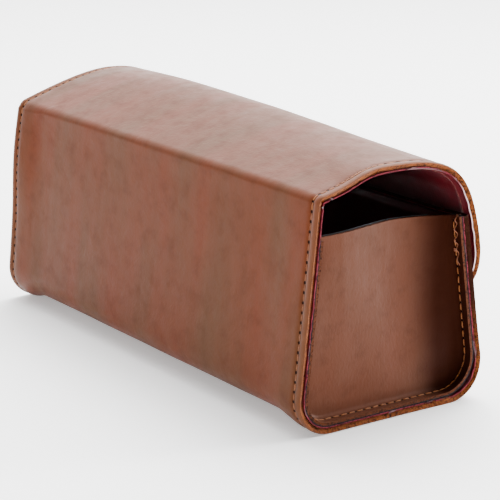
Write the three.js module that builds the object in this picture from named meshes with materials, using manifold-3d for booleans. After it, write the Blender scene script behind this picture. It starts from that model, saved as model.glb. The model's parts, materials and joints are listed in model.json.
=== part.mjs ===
// Leather eyeglasses case with a fold-over lid and flap, shown closed and standing on its base.
// Millimetres, +Z up. X runs along the case. The flap hangs on the -Y side, and the lid folds at
// the top of the back wall, on the +Y side. The origin is the middle of the base.

import * as THREE from "three";
import { mergeVertices } from "three/addons/utils/BufferGeometryUtils.js";
import Module from "manifold-3d";

const wasm = await Module();
wasm.setup();

// Outer sizes
const LENGTH = 170;
const BASE_DEPTH = 69.6; // front wall to back wall, measured where their planes meet the table
const CREASE_HEIGHT = 68.8; // the fold between back wall and lid
const BACK_LEAN = 0.109; // how far each wall leans in, per millimetre of height
const FRONT_LEAN = 0.142;
const BACK_CORNER_RADIUS = 11;
const FRONT_CORNER_RADIUS = 13;
const BASE_SHIFT = 0.53; // puts the origin midway between the back wall and the flap

// Lid and flap
const MOUTH_DROP = 12.3; // the front wall's top edge below the crease
const LID_RISE = 6.5; // the lid's ridge above the crease, at the two ends
const LID_CROWN = 3.2; // how much higher the ridge is at mid-length
const RIDGE_SETBACK = 20; // the ridge behind the front wall's top edge
const CREASE_HANDLE = { run: 11, rise: 3.2 }; // how the lid leaves the crease
const RIDGE_HANDLE = 12;
const SHOULDER_HANDLE = 14;
const SHOULDER_END_DROP = 6.5; // the flap is straight from this far below the front wall's top edge
const FLAP_COVER = 29; // how far the flap reaches below the front wall's top edge
const FLAP_CORNER_RADIUS = 20;
const FLAP_GAP = 1.6; // between the flap's lining and the front wall

// Materials' thicknesses and clearances
const LEATHER = 1.2;
const LINING = 0.5;
const BOARD = 1.0;
const GAP = 0.3;
const CUT_EDGE_INSET = 0.3; // linings and gusset flanges stop this far short of the leather's cut edge

// Gussets: the end panels, with flanges turned out and sewn inside the wrap
const GUSSET_RISE = 0.5; // their top edge above the front wall's top edge
const GUSSET_INSET = 4; // their face behind the case's end, beside the seams
const GUSSET_BOW = 3.5; // how much deeper the face is at its middle

// Boards, linings and magnets
const LINING_END_SETBACK = 11; // the body's lining stops before the gussets
const BOARD_END_SETBACK = 13;
const BOARD_EDGE_SETBACK = 3; // from a board's long edges to the ends of its flat wall
const MAGNET_RADIUS = 6;
const WALL_MAGNET_THICKNESS = 0.8;
const FLAP_MAGNET_THICKNESS = 0.45;
const POCKET_SKIN = 0.45; // leather left over the flap's magnet
const MAGNET_EDGE_MARGIN = 12; // from the flap's bottom edge to the magnet's centre

// Seams
const SEAM_MARGIN = 3;
const THREAD_WIDTH = 0.6;
const THREAD_THICKNESS = 0.3;
const THREAD_SINK = 0.1; // the thread's top below the leather's surface
const THREAD_END_GAP = 1; // from a thread's end to the end of its groove

// How finely the curves are drawn
const CORNER_STEPS = 8;
const COVER_STEPS = 22; // from the crease to where the flap's corners begin
const COVER_COLUMNS = 14; // along the case, because the lid's ridge is crowned
const DISC_SIDES = 32;
const GUSSET_STEPS = 16;

const END = LENGTH / 2;
const MOUTH_HEIGHT = CREASE_HEIGHT - MOUTH_DROP;
const SHEET = LEATHER + GAP + LINING; // leather and lining together, as in the lid and the flap
const FACE_GAP = 2 * GAP; // two pieces cut by one plane stand this far apart
const OVERCUT = 1; // how far a cutting solid runs past what it cuts

// ---------------------------------------------------------------- solids

function toManifold(geometry) {
  const bare = geometry.clone();
  bare.deleteAttribute("normal");
  bare.deleteAttribute("uv");
  const merged = mergeVertices(bare, 1e-5);
  const vertProperties = new Float32Array(merged.attributes.position.array);
  const triVerts = new Uint32Array(merged.index.array);
  return new wasm.Manifold(new wasm.Mesh({ numProp: 3, vertProperties, triVerts }));
}

function toGeometry(solid) {
  const { vertProperties, triVerts } = solid.getMesh();
  const geometry = new THREE.BufferGeometry();
  geometry.setAttribute("position", new THREE.BufferAttribute(new Float32Array(vertProperties), 3));
  geometry.setIndex(new THREE.BufferAttribute(new Uint32Array(triVerts), 1));
  geometry.computeVertexNormals();
  return geometry;
}

// A block whose face passes through origin = [y, z], on the side that normal = [y, z] points to
function blockBeyond(origin, normal, setback, size) {
  const direction = new THREE.Vector3(0, normal[0], normal[1]).normalize();
  const turn = new THREE.Quaternion().setFromUnitVectors(new THREE.Vector3(0, 0, 1), direction);
  const centre = new THREE.Vector3(0, origin[0], origin[1]);
  centre.addScaledVector(direction, size / 2 + setback);
  const block = new THREE.BoxGeometry(2 * LENGTH, size, size);
  return toManifold(block.applyQuaternion(turn).translate(centre.x, centre.y, centre.z));
}

// ---------------------------------------------------------------- folded sheets
// A fold is a list of curves in the (y, z) plane that follow the leather's outer surface. A place
// on it is [v, x]: v counts the curves, so 1.5 is halfway along the second one.

function frontY(z) {
  return BASE_SHIFT - BASE_DEPTH / 2 + FRONT_LEAN * z;
}

function backY(z) {
  return BASE_SHIFT + BASE_DEPTH / 2 - BACK_LEAN * z;
}

// Front wall, rounded corner, base, rounded corner and back wall
function bodyFold() {
  const frontAngle = Math.atan(FRONT_LEAN);
  const backAngle = Math.atan(BACK_LEAN);
  const frontCentre = frontY(FRONT_CORNER_RADIUS) + FRONT_CORNER_RADIUS / Math.cos(frontAngle);
  const backCentre = backY(BACK_CORNER_RADIUS) - BACK_CORNER_RADIUS / Math.cos(backAngle);
  const corner = (y, radius, from, to) => new THREE.EllipseCurve(y, radius, radius, radius, from, to);
  const front = corner(frontCentre, FRONT_CORNER_RADIUS, Math.PI - frontAngle, 1.5 * Math.PI);
  const back = corner(backCentre, BACK_CORNER_RADIUS, -Math.PI / 2, backAngle);
  const mouth = new THREE.Vector2(frontY(MOUTH_HEIGHT), MOUTH_HEIGHT);
  const crease = new THREE.Vector2(backY(CREASE_HEIGHT), CREASE_HEIGHT);
  return [
    new THREE.LineCurve(mouth, front.getPoint(0)),
    front,
    new THREE.LineCurve(front.getPoint(1), back.getPoint(0)),
    back,
    new THREE.LineCurve(back.getPoint(1), crease),
  ];
}

const bodyCurves = bodyFold();
const [FRONT_WALL, FRONT_CORNER, BASE, BACK_CORNER, BACK_WALL, BODY_END] = [0, 1, 2, 3, 4, 5];

// Lid, front shoulder and flap, at one place along the case
function coverFold(x) {
  const crown = LID_CROWN * (1 - (x / END) ** 2);
  const crease = new THREE.Vector2(backY(CREASE_HEIGHT), CREASE_HEIGHT);
  const leave = new THREE.Vector2(crease.x - CREASE_HANDLE.run, crease.y + CREASE_HANDLE.rise);
  const ridge = new THREE.Vector2(frontY(MOUTH_HEIGHT) + RIDGE_SETBACK, CREASE_HEIGHT + LID_RISE + crown);
  const standoff = (FLAP_GAP + SHEET) * Math.hypot(1, FRONT_LEAN);
  const flapLine = (z) => new THREE.Vector2(frontY(z) - standoff, z);
  const straightTop = MOUTH_HEIGHT - SHOULDER_END_DROP;
  return [
    new THREE.CubicBezierCurve(crease, leave, new THREE.Vector2(ridge.x + RIDGE_HANDLE, ridge.y), ridge),
    new THREE.CubicBezierCurve(
      ridge,
      new THREE.Vector2(ridge.x - SHOULDER_HANDLE, ridge.y),
      flapLine(straightTop + SHOULDER_HANDLE),
      flapLine(straightTop),
    ),
    new THREE.LineCurve(flapLine(straightTop), flapLine(MOUTH_HEIGHT - FLAP_COVER)),
  ];
}

const coverCache = new Map();
const [LID, SHOULDER, FLAP] = [0, 1, 2];

const body = () => bodyCurves;

function cover(x) {
  const key = x.toFixed(4);
  if (!coverCache.has(key)) {
    coverCache.set(key, coverFold(x));
  }
  return coverCache.get(key);
}

// Outer surface point and inward normal
function onFold(fold, v, x) {
  const curves = fold(x);
  const i = Math.max(0, Math.min(Math.floor(v), curves.length - 1));
  const point = curves[i].getPoint(v - i);
  const before = curves[i].getPoint(v - i - 1e-4);
  const after = curves[i].getPoint(v - i + 1e-4);
  const along = after.sub(before).normalize();
  return {
    point: new THREE.Vector3(x, point.x, point.y),
    inward: new THREE.Vector3(0, -along.y, along.x),
  };
}

function atDepth(fold, v, x, depth) {
  const { point, inward } = onFold(fold, v, x);
  return point.addScaledVector(inward, depth);
}

function steps(from, to, count) {
  return Array.from({ length: count + 1 }, (_, i) => from + ((to - from) * i) / count);
}

// Rings of points joined in order, with the first and last ring closed by a strip
function closedRings(rings) {
  const size = rings[0].length;
  const half = size / 2;
  const index = [];
  const quad = (a, b, c, d) => index.push(a, c, b, a, d, c);
  for (let i = 0; i + 1 < rings.length; i += 1) {
    for (let j = 0; j < size; j += 1) {
      const next = (j + 1) % size;
      quad(i * size + j, i * size + next, (i + 1) * size + next, (i + 1) * size + j);
    }
  }
  const last = (rings.length - 1) * size;
  for (let j = 0; j + 1 < half; j += 1) {
    const opposite = size - 1 - j;
    quad(j, opposite, opposite - 1, j + 1);
    quad(last + j, last + j + 1, last + opposite - 1, last + opposite);
  }
  const geometry = new THREE.BufferGeometry().setFromPoints(rings.flat());
  geometry.setIndex(index);
  return toManifold(geometry);
}

// A sheet between two depths. Each row is { v, half }, half being its half-width.
function sheet(fold, rows, columns, outer, inner) {
  const rings = rows.map(({ v, half }) => {
    const xs = columns.map((s) => s * half);
    const top = xs.map((x) => atDepth(fold, v, x, outer));
    const bottom = xs.map((x) => atDepth(fold, v, x, inner));
    return [...top, ...bottom.reverse()];
  });
  return closedRings(rings);
}

// A thread, or the groove it lies in, along a route of [v, x] places
function ribbon(fold, route, width, outer, inner) {
  const places = route.map(([v, x]) => onFold(fold, v, x));
  const rings = places.map(({ point, inward }, i) => {
    const ahead = places[Math.min(i + 1, places.length - 1)].point;
    const behind = places[Math.max(i - 1, 0)].point;
    const side = new THREE.Vector3().subVectors(ahead, behind).cross(inward).normalize();
    const corner = (across, depth) =>
      point.clone().addScaledVector(side, (across * width) / 2).addScaledVector(inward, depth);
    return [corner(-1, outer), corner(1, outer), corner(1, inner), corner(-1, inner)];
  });
  return closedRings(rings);
}

function groove(fold, route) {
  const depth = THREAD_SINK + THREAD_THICKNESS + GAP;
  return ribbon(fold, route, THREAD_WIDTH + 2 * GAP, -OVERCUT, depth);
}

function thread(fold, route) {
  return ribbon(fold, route, THREAD_WIDTH, THREAD_SINK, THREAD_SINK + THREAD_THICKNESS);
}

// A disc lying in a folded sheet, between two depths
function disc(fold, v, x, radius, outer, inner) {
  const { point, inward } = onFold(fold, v, x);
  const geometry = new THREE.CylinderGeometry(radius, radius, inner - outer, DISC_SIDES);
  geometry.applyQuaternion(new THREE.Quaternion().setFromUnitVectors(new THREE.Vector3(0, 1, 0), inward));
  const centre = point.addScaledVector(inward, (inner + outer) / 2);
  return toManifold(geometry.translate(centre.x, centre.y, centre.z));
}

// ---------------------------------------------------------------- the two folds, as sheets

const bodyRows = [
  FRONT_WALL,
  ...steps(FRONT_CORNER, BASE, CORNER_STEPS),
  ...steps(BACK_CORNER, BACK_WALL, CORNER_STEPS),
  BODY_END,
];

function bodySheet(halfLength, firstV, lastV, outer, inner) {
  const vs = [firstV, ...bodyRows.filter((v) => v > firstV && v < lastV), lastV];
  return sheet(body, vs.map((v) => ({ v, half: halfLength })), [-1, 1], outer, inner);
}

const flapLength = cover(0)[FLAP].getLength();
const flapCornerTop = flapLength - FLAP_CORNER_RADIUS;

const onFlap = (millimetres) => FLAP + millimetres / flapLength;

const coverColumns = steps(-1, 1, COVER_COLUMNS);

// The flap's lower corners are quarter circles in its own plane
function coverSheet(edgeInset, outer, inner) {
  const radius = FLAP_CORNER_RADIUS - edgeInset;
  const rows = steps(LID, FLAP, COVER_STEPS).map((v) => ({ v, half: END - edgeInset }));
  for (const angle of steps(0, Math.PI / 2, CORNER_STEPS)) {
    rows.push({
      v: onFlap(flapCornerTop + radius * Math.sin(angle)),
      half: END - FLAP_CORNER_RADIUS + radius * Math.cos(angle),
    });
  }
  return sheet(cover, rows, coverColumns, outer, inner);
}

// ---------------------------------------------------------------- fold lines

// The lid turns about the crease, on the outer surface
const creasePoint = [backY(CREASE_HEIGHT), CREASE_HEIGHT];
const wallDirection = new THREE.Vector2(BACK_LEAN, -1).normalize();
const lidDirection = new THREE.Vector2(-CREASE_HANDLE.run, CREASE_HANDLE.rise).normalize();
const lidSide = [lidDirection.x - wallDirection.x, lidDirection.y - wallDirection.y];
const wallSide = [-lidSide[0], -lidSide[1]];

// The flap turns about a line on the shoulder's outer surface at mid-length, where it stands furthest out
const shoulderPlace = onFold(cover, SHOULDER + 0.5, 0);
const shoulderPoint = [shoulderPlace.point.y, shoulderPlace.point.z];
const flapSide = [shoulderPlace.inward.z, -shoulderPlace.inward.y];
const shoulderLidSide = [-flapSide[0], -flapSide[1]];

const HUGE = 2 * LENGTH;
const CREASE_BLOCK = 8 * LEATHER; // takes in the leather at the crease and nothing further off
const lidHalfSpace = blockBeyond(creasePoint, lidSide, GAP, HUGE);
const aboveCreaseCorner = blockBeyond(creasePoint, lidSide, -GAP, CREASE_BLOCK);
const beforeShoulder = blockBeyond(shoulderPoint, shoulderLidSide, FACE_GAP / 2, HUGE);
const afterShoulder = blockBeyond(shoulderPoint, flapSide, FACE_GAP / 2, HUGE);

function lidPart(solid) {
  return solid.intersect(lidHalfSpace).intersect(beforeShoulder);
}

function flapPart(solid) {
  return solid.intersect(afterShoulder);
}

// ---------------------------------------------------------------- seam routes

const seamX = END - SEAM_MARGIN;
const endGapV = THREAD_END_GAP / bodyCurves[FRONT_WALL].getLength();

function bodySeamRoute(side, shorten) {
  const inner = bodyRows.filter((v) => v > FRONT_WALL && v < BODY_END);
  const ends = shorten ? [endGapV, BODY_END - endGapV] : [-endGapV, BODY_END + endGapV];
  return [ends[0], ...inner, ends[1]].map((v) => [v, side * seamX]);
}

// Down the lid's end, over the shoulder and round the flap to the other end
function coverSeamRoute() {
  const radius = FLAP_CORNER_RADIUS - SEAM_MARGIN;
  const down = steps(LID, FLAP, COVER_STEPS).map((v) => [v, -seamX]);
  const corner = steps(0, Math.PI / 2, CORNER_STEPS).map((angle) => [
    onFlap(flapCornerTop + radius * Math.sin(angle)),
    -(END - FLAP_CORNER_RADIUS + radius * Math.cos(angle)),
  ]);
  const left = [...down, ...corner];
  const right = left.map(([v, x]) => [v, -x]).reverse();
  return [...left, ...right];
}

function lidSeamRoute(side) {
  return steps(LID, FLAP, COVER_STEPS).map((v) => [v, side * seamX]);
}

// ---------------------------------------------------------------- pieces

const magnetV = onFlap(flapLength - MAGNET_EDGE_MARGIN);
const magnetHeight = onFold(cover, magnetV, 0).point.z;
const frontWallSpan = MOUTH_HEIGHT - bodyCurves[FRONT_WALL].getPoint(1).y;
const wallMagnetV = (MOUTH_HEIGHT - magnetHeight) / frontWallSpan;

function bodyWrap() {
  let solid = bodySheet(END, FRONT_WALL, BODY_END, 0, LEATHER);
  solid = solid.subtract(aboveCreaseCorner);
  for (const side of [-1, 1]) {
    solid = solid.subtract(groove(body, bodySeamRoute(side, false)));
  }
  return solid;
}

function coverLeather() {
  let solid = coverSheet(0, 0, LEATHER);
  solid = solid.subtract(groove(cover, coverSeamRoute()));
  return solid;
}

function magnetPocket() {
  return disc(cover, magnetV, 0, MAGNET_RADIUS + GAP, POCKET_SKIN, LEATHER + GAP / 2);
}

const coverThread = () => thread(cover, coverSeamRoute());

function lidThread(side) {
  const nearCrease = blockBeyond(creasePoint, lidSide, THREAD_END_GAP, HUGE);
  return lidPart(thread(cover, lidSeamRoute(side))).intersect(nearCrease);
}

function bodyLining() {
  const top = BODY_END - (BOARD_EDGE_SETBACK / bodyCurves[BACK_WALL].getLength());
  const depth = LEATHER + GAP + BOARD + GAP;
  return bodySheet(END - LINING_END_SETBACK, FRONT_WALL, top, depth, depth + LINING);
}

// A stiffener inside one flat wall, between the leather and the lining
function board(wall) {
  const inset = BOARD_EDGE_SETBACK / bodyCurves[wall].getLength();
  const depth = LEATHER + GAP;
  return bodySheet(END - BOARD_END_SETBACK, wall + inset, wall + 1 - inset, depth, depth + BOARD);
}

function frontBoard() {
  const hole = disc(body, wallMagnetV, 0, MAGNET_RADIUS + GAP, 0, LEATHER + 2 * (GAP + BOARD));
  return board(FRONT_WALL).subtract(hole);
}

function wallMagnet() {
  const middle = LEATHER + GAP + BOARD / 2;
  const half = WALL_MAGNET_THICKNESS / 2;
  return disc(body, wallMagnetV, 0, MAGNET_RADIUS, middle - half, middle + half);
}

function flapMagnet() {
  const middle = (POCKET_SKIN + LEATHER + GAP) / 2;
  const half = FLAP_MAGNET_THICKNESS / 2;
  return disc(cover, magnetV, 0, MAGNET_RADIUS, middle - half, middle + half);
}

const ABOVE_MOUTH = -0.4; // a place on the front wall's line, well above its top edge

// The space inside the wrap at some depth, from mid-length to beyond an end
function insideWrap(depth, xEnd) {
  const outline = [ABOVE_MOUTH, ...bodyRows.slice(1)].map((v) => atDepth(body, v, 0, depth));
  const shape = new THREE.Shape(outline.map((p) => new THREE.Vector2(p.y, p.z)));
  const geometry = new THREE.ExtrudeGeometry(shape, { depth: xEnd, bevelEnabled: false });
  const turn = new THREE.Matrix4().makeBasis(
    new THREE.Vector3(0, 1, 0),
    new THREE.Vector3(0, 0, 1),
    new THREE.Vector3(1, 0, 0),
  );
  return toManifold(geometry.applyMatrix4(turn));
}

// Everything beyond the gusset's bowed face, moved out by some distance
function beyondFace(offset) {
  const edge = END - GUSSET_INSET + offset;
  const shape = new THREE.Shape();
  shape.moveTo(edge, -BASE_DEPTH / 2);
  shape.lineTo(edge + LENGTH, -BASE_DEPTH / 2);
  shape.lineTo(edge + LENGTH, BASE_DEPTH / 2 + OVERCUT);
  shape.lineTo(edge, BASE_DEPTH / 2 + OVERCUT);
  shape.quadraticCurveTo(edge - 2 * GUSSET_BOW, 0, edge, -BASE_DEPTH / 2);
  const options = { depth: HUGE, bevelEnabled: false, curveSegments: GUSSET_STEPS };
  const geometry = new THREE.ExtrudeGeometry(shape, options);
  return toManifold(geometry.translate(0, 0, -LENGTH));
}

const belowGussetTop = blockBeyond([0, MOUTH_HEIGHT + GUSSET_RISE], [0, -1], 0, HUGE);

// A panel that follows the gusset's face and turns outwards along the wrap
function gussetSkin(depth, thickness, faceOffset) {
  const outside = insideWrap(depth, END - CUT_EDGE_INSET).intersect(beyondFace(faceOffset));
  const hollow = insideWrap(depth + thickness, 2 * END).intersect(beyondFace(faceOffset + thickness));
  return outside.intersect(belowGussetTop).subtract(hollow);
}

const gussetLeather = () => gussetSkin(LEATHER + 2 * GAP + LINING, LEATHER, 0);

const gussetLining = () => gussetSkin(LEATHER + GAP, LINING, -GAP - LINING);

// ---------------------------------------------------------------- materials and scene graph

const finishes = {
  leather: { color: 0x8a5f4c, roughness: 0.45, metalness: 0 },
  lining: { color: 0x4a0c12, roughness: 0.5, metalness: 0 },
  blackLining: { color: 0x16161a, roughness: 0.7, metalness: 0 },
  board: { color: 0xa08f78, roughness: 0.9, metalness: 0 },
  thread: { color: 0xb8733a, roughness: 0.8, metalness: 0 },
  magnet: { color: 0xb9bcc0, roughness: 0.25, metalness: 1 },
};

const group = new THREE.Group();

function add(name, solid, finish, mirrored = false) {
  const placed = mirrored ? solid.mirror([1, 0, 0]) : solid;
  const mesh = new THREE.Mesh(toGeometry(placed), new THREE.MeshStandardMaterial(finishes[finish]));
  mesh.name = name;
  group.add(mesh);
}

add("body_wrap", bodyWrap(), "leather");
add("lid_panel", lidPart(coverLeather()), "leather");
add("flap_panel", flapPart(coverLeather()).subtract(magnetPocket()), "leather");

add("gusset_left", gussetLeather(), "leather");
add("gusset_right", gussetLeather(), "leather", true);

add("body_lining", bodyLining(), "lining");
add("lid_lining", lidPart(coverSheet(CUT_EDGE_INSET, LEATHER + GAP, SHEET)), "lining");
add("flap_lining", flapPart(coverSheet(CUT_EDGE_INSET, LEATHER + GAP, SHEET)), "lining");
add("gusset_lining_left", gussetLining(), "blackLining");
add("gusset_lining_right", gussetLining(), "blackLining", true);

add("back_board", board(BACK_WALL), "board");
add("base_board", board(BASE), "board");
add("front_board", frontBoard(), "board");

add("flap_magnet", flapMagnet(), "magnet");
add("wall_magnet", wallMagnet(), "magnet");

add("seam_thread_left", thread(body, bodySeamRoute(1, true)), "thread");
add("seam_thread_right", thread(body, bodySeamRoute(-1, true)), "thread");
add("lid_thread_left", lidThread(1), "thread");
add("lid_thread_right", lidThread(-1), "thread");
add("flap_thread", flapPart(coverThread()), "thread");

export default group;
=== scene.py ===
# %% [markdown]
# # A brown leather eyeglasses case
# The case is a long box of vegetable-tanned leather. One blank of leather makes the front wall, the
# base, the back wall, the lid and the flap, and a gusset is sewn into each end. The CAD frame gives
# the sizes and the two folds that move, and this script makes the leather, the linings and the
# stitches around it. Everything is in metres.

# %% Load the frame
import json
import math

import bmesh
import bpy
import numpy as np
from mathutils import Matrix, Vector, noise


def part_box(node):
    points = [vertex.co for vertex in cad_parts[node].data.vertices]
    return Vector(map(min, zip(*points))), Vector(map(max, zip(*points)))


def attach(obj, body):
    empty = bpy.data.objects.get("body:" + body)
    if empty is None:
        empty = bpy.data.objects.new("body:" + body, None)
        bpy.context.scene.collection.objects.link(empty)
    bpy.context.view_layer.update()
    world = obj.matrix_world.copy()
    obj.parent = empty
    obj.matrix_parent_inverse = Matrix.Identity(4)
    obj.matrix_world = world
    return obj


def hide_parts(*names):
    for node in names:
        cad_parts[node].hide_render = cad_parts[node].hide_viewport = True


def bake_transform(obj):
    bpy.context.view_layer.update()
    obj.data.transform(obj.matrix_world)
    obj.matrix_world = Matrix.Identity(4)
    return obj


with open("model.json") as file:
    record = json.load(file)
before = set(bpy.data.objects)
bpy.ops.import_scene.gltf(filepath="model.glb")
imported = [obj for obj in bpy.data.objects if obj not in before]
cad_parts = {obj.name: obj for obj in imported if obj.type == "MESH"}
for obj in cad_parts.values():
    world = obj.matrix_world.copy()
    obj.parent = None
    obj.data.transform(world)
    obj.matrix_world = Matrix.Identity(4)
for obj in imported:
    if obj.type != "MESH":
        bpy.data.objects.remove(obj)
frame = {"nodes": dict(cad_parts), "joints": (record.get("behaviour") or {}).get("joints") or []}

MM = 0.001
link = bpy.context.scene.collection.objects.link
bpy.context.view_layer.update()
joints = {joint["name"]: joint for joint in frame["joints"]}

# %% [markdown]
# ## Driving sizes
# The length, the heights and the crease come from the frame. What the frame doesn't say, such as how
# far each wall leans or how round a corner is, is named here. A real pattern maker works from the
# same few values.

# %% Sizes from the frame, and the pattern's own
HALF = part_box("body_wrap")[1].x
CREASE_Y, CREASE_Z = joints["lid_hinge"]["pos_m"][1:]
MOUTH_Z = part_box("gusset_left")[1].z - 0.5 * MM
RIDGE_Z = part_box("lid_panel")[1].z
FLAP_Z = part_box("flap_panel")[0].z

BASE_DEPTH = 69.6 * MM
BACK_LEAN, FRONT_LEAN = 0.109, 0.142
BACK_RADIUS, FRONT_RADIUS = 11 * MM, 13 * MM
CREASE_BEND = 2 * MM
FLAP_RADIUS = 20 * MM
FLAP_STANDOFF = 3.6 * MM
STRAIGHT_Z = MOUTH_Z - 6.5 * MM

LEATHER = 1.8 * MM
LINING = 0.35 * MM
GUSSET_LEATHER = 0.85 * MM
SEAM_MARGIN = 3 * MM
PITCH_WANTED = 2.85 * MM
print("half length", round(HALF, 4), "crease", round(CREASE_Y, 4), round(CREASE_Z, 4))

# %% [markdown]
# ## The folded blank as a surface
# A leather worker cuts the blank flat and folds it. The surface is written the same way: `v` counts
# the stretches of the blank, from the front wall's top edge (0) round the base, up the back wall,
# over the crease and the lid and down the flap (9), and `x` runs along the case. Nothing is stretched,
# so a grid that is flat at first can be folded onto it and keeps the grain at its true size.


# %% Stretches of the fold line
def back_y(z):
    return CREASE_Y + BACK_LEAN * (CREASE_Z - z)


def front_y(z):
    return back_y(0) - BASE_DEPTH + FRONT_LEAN * z


def curve(t, *points):
    """A Bezier curve: a straight line for two points, and rounder for each one more."""
    n = len(points) - 1
    weights = [math.comb(n, i) * (1 - t) ** (n - i) * t**i for i in range(n + 1)]
    return tuple(sum(w * p[k] for w, p in zip(weights, points)) for k in (0, 1))


def arc(centre_y, radius, start, end, t):
    angle = start + (end - start) * t
    return centre_y + radius * np.cos(angle), radius + radius * np.sin(angle)


FRONT_TURN, BACK_TURN = math.atan(FRONT_LEAN), math.atan(BACK_LEAN)
FRONT_CENTRE = front_y(FRONT_RADIUS) + FRONT_RADIUS / math.cos(FRONT_TURN)
BACK_CENTRE = back_y(BACK_RADIUS) - BACK_RADIUS / math.cos(BACK_TURN)


def front_corner(t, x=0):
    return arc(FRONT_CENTRE, FRONT_RADIUS, math.pi - FRONT_TURN, 1.5 * math.pi, t)


def back_corner(t, x=0):
    return arc(BACK_CENTRE, BACK_RADIUS, -math.pi / 2, BACK_TURN, t)


def front_wall(t, x):
    return curve(t, (front_y(MOUTH_Z), MOUTH_Z), front_corner(0))


def base(t, x):
    return curve(t, front_corner(1), back_corner(0))


WALL_TOP = CREASE_Z - CREASE_BEND


def back_wall(t, x):
    return curve(t, back_corner(1), (back_y(WALL_TOP), WALL_TOP))


def toward_ends(x):
    """How far along each half a place is, squared: (towards -X, towards +X)."""
    return np.clip(-x / HALF, 0, 1) ** 2, np.clip(x / HALF, 0, 1) ** 2


# The lid's curve, in mm. Each length is given at mid-length, with what the -X end and the +X end add.
# A handle is how far the curve runs on straight before it turns.
CREASE_HANDLE_Y, CREASE_HANDLE_Z = (-11, -4.4, -0.8), (3.2, -0.3, 0.9)
RIDGE_LINE_Y = (-7.9, 10.3, 0.8)
RIDGE_HANDLE_BACK, RIDGE_HANDLE_FRONT = (10, 2, -0.5), (-13, -12.1, -3)
FLAP_HANDLE_Y, FLAP_HANDLE_Z = (2.4, 1.7, -2.4), (17, 1.5, 5.8)
# the ridge's height against the CAD lid's top, as powers of the way along: drop, tilt, sag and droop
RIDGE_LINE_Z = (-0.6, 3.2, -1.82, -1.9)
LID_START = 0.06


def along_case(lengths, x):
    """One of the lid's lengths at x, in metres."""
    near, far = toward_ends(x)
    return (lengths[0] + lengths[1] * near + lengths[2] * far) * MM


def ridge(x):
    """The lid's highest line. It sags to the ends, and most at the -X one, where the leather is tired."""
    height = sum(part * (x / HALF) ** power for power, part in enumerate(RIDGE_LINE_Z))
    return along_case(RIDGE_LINE_Y, x), RIDGE_Z + height * MM


def flap_line(z):
    return front_y(z) - FLAP_STANDOFF * math.hypot(1, FRONT_LEAN), z


def whole_lid(t, x):
    top = ridge(x)
    leave = CREASE_Y + along_case(CREASE_HANDLE_Y, x), CREASE_Z + along_case(CREASE_HANDLE_Z, x)
    arrive = top[0] + along_case(RIDGE_HANDLE_BACK, x), top[1]
    return curve(t, (CREASE_Y, CREASE_Z), leave, arrive, top)


def lid(t, x):
    return whole_lid(LID_START + (1 - LID_START) * t, x)


def crease(t, x):
    return curve(t, (back_y(WALL_TOP), WALL_TOP), (CREASE_Y, CREASE_Z), whole_lid(LID_START, x))


def shoulder(t, x):
    top = ridge(x)
    end = flap_line(STRAIGHT_Z)
    leave = top[0] + along_case(RIDGE_HANDLE_FRONT, x), top[1]
    arrive = end[0] + along_case(FLAP_HANDLE_Y, x), end[1] + along_case(FLAP_HANDLE_Z, x)
    return curve(t, top, leave, arrive, end)


def flap(t, x):
    return curve(t, flap_line(STRAIGHT_Z), flap_line(FLAP_Z))


STRETCHES = [front_wall, front_corner, base, back_corner, back_wall, crease, lid, shoulder, flap]
FRONT, BASE, BACK, CREASE, LID, SHOULDER, LAST = 0, 2, 4, 5, 6, 7, 9
print("stretches", [stretch.__name__ for stretch in STRETCHES])


# %% Points, normals and lengths on the blank
def fold_line(v, x):
    v, x = np.broadcast_arrays(np.asarray(v, float), np.asarray(x, float))
    y, z = np.zeros(v.shape), np.zeros(v.shape)
    which = np.clip(np.floor(v).astype(int), 0, LAST - 1)
    for i, stretch in enumerate(STRETCHES):
        here = which == i
        if here.any():
            y[here], z[here] = stretch(v[here] - i, x[here])
    return y, z


TABLE_V = np.linspace(0, LAST, 3601)
_y, _z = fold_line(TABLE_V, 0)
TABLE_S = np.concatenate([[0], np.cumsum(np.hypot(np.diff(_y), np.diff(_z)))])
BLANK = TABLE_S[-1]


def v_at(s):
    return np.interp(s, TABLE_S, TABLE_V)


def s_at(v):
    return np.interp(v, TABLE_V, TABLE_S)


def smoothstep(a, b, value):
    t = np.clip((value - a) / (b - a), 0, 1)
    return t * t * (3 - 2 * t)


def edge_distance(s, x):
    """How far a place on the blank is from the nearest cut edge. The flap's corners are round."""
    side, end = HALF - np.abs(x), BLANK - s
    in_corner = (side < FLAP_RADIUS) & (end < FLAP_RADIUS)
    round_corner = FLAP_RADIUS - np.hypot(FLAP_RADIUS - side, FLAP_RADIUS - end)
    return np.minimum(np.where(in_corner, round_corner, np.minimum(side, end)), s)


def half_width(s):
    """Half the blank's width, which narrows round the flap's corners."""
    into = np.clip(s - (BLANK - FLAP_RADIUS), 0, FLAP_RADIUS)
    return HALF - FLAP_RADIUS + np.sqrt(FLAP_RADIUS**2 - into**2)


# the seam goes down one end and round the flap to its middle, and a whole number of stitches fills it
SEAM_RADIUS = FLAP_RADIUS - SEAM_MARGIN
CORNER_X, CORNER_S = HALF - FLAP_RADIUS, BLANK - FLAP_RADIUS
CORNER_ARC = SEAM_RADIUS * math.pi / 2
SEAM_LENGTH = CORNER_S + CORNER_ARC + CORNER_X
PITCH = SEAM_LENGTH / round(SEAM_LENGTH / PITCH_WANTED)
print("blank", round(BLANK / MM), "mm long, stitches", round(PITCH / MM, 3), "mm apart")

# %% [markdown]
# The leather isn't a perfect prism. Towards the ends the seams hold it out a little, along the stitch
# line the thread pulls it in, its cut edge is burnished round, and the panels wave by a few tenths of
# a millimetre. These go into the mesh, so that they show in outlines and reflections.

# %% Relief: flare, stitch groove, burnished edge and gentle waves
FLARE = 1.0 * MM
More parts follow.
